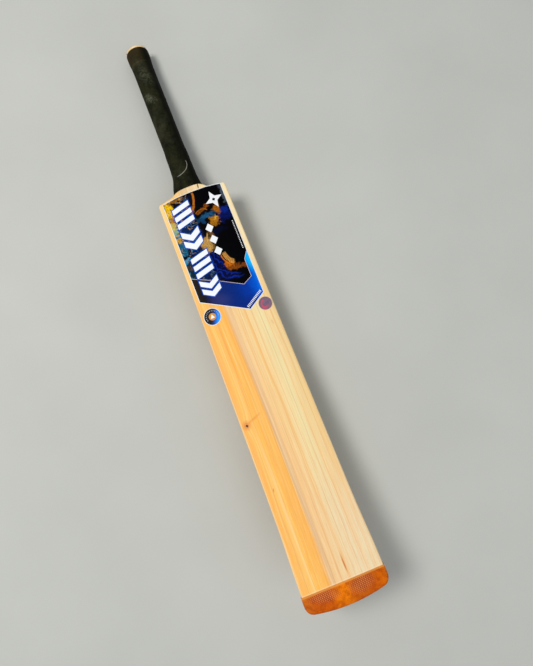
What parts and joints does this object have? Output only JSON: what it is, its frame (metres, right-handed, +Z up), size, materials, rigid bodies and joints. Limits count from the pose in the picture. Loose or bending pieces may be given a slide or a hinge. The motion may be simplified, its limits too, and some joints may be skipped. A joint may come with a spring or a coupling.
{
  "type": "cricket bat",
  "caption": "Full-size cricket bat with a bowed, spined willow blade, spliced cane handle, black rubber grip, resin cloth toe guard and printed stickers on its face.",
  "frame": {"origin": "bottom centre of the box around the bat as it lies face up, resting on the spine of the blade and on the thick end of the grip", "axes": "+Y from the toe to the handle, +Z up out of the face, +X across the blade, to the right when the handle points away; the bat's own length is tipped 4.3 degrees about X, so the handle end is lower"},
  "size_m": [0.1096, 0.858, 0.1015],
  "materials": {
    "willow": "pale straight-grained willow, lightly oiled, warm heartwood along the left side",
    "cane": "bare cane, satin",
    "spring_rubber": "matte",
    "grip_rubber": "matte black, faintly scuffed",
    "twine": "glued winding",
    "toe_cloth": "woven cloth soaked in glossy amber resin",
    "sticker_print": "glossy printed film with a white border and abstract swirls",
    "disc_blue": "glossy printed film",
    "disc_violet": "pearly foil film"
  },
  "bodies": {
    "root": {"blade": "willow", "toe_guard": "toe_cloth", "grip": "grip_rubber", "twine_binding": "twine", "cane_face_left": "cane", "cane_face_mid": "cane", "cane_face_right": "cane", "cane_fore_left": "cane", "cane_fore_mid": "cane", "cane_fore_right": "cane", "cane_aft_left": "cane", "cane_aft_mid": "cane", "cane_aft_right": "cane", "cane_back_left": "cane", "cane_back_mid": "cane", "cane_back_right": "cane", "spring_fore": "spring_rubber", "spring_core": "spring_rubber", "spring_aft": "spring_rubber", "face_sticker": "sticker_print", "disc_left": "disc_blue", "disc_right": "disc_violet"}
  },
  "joints": []
}
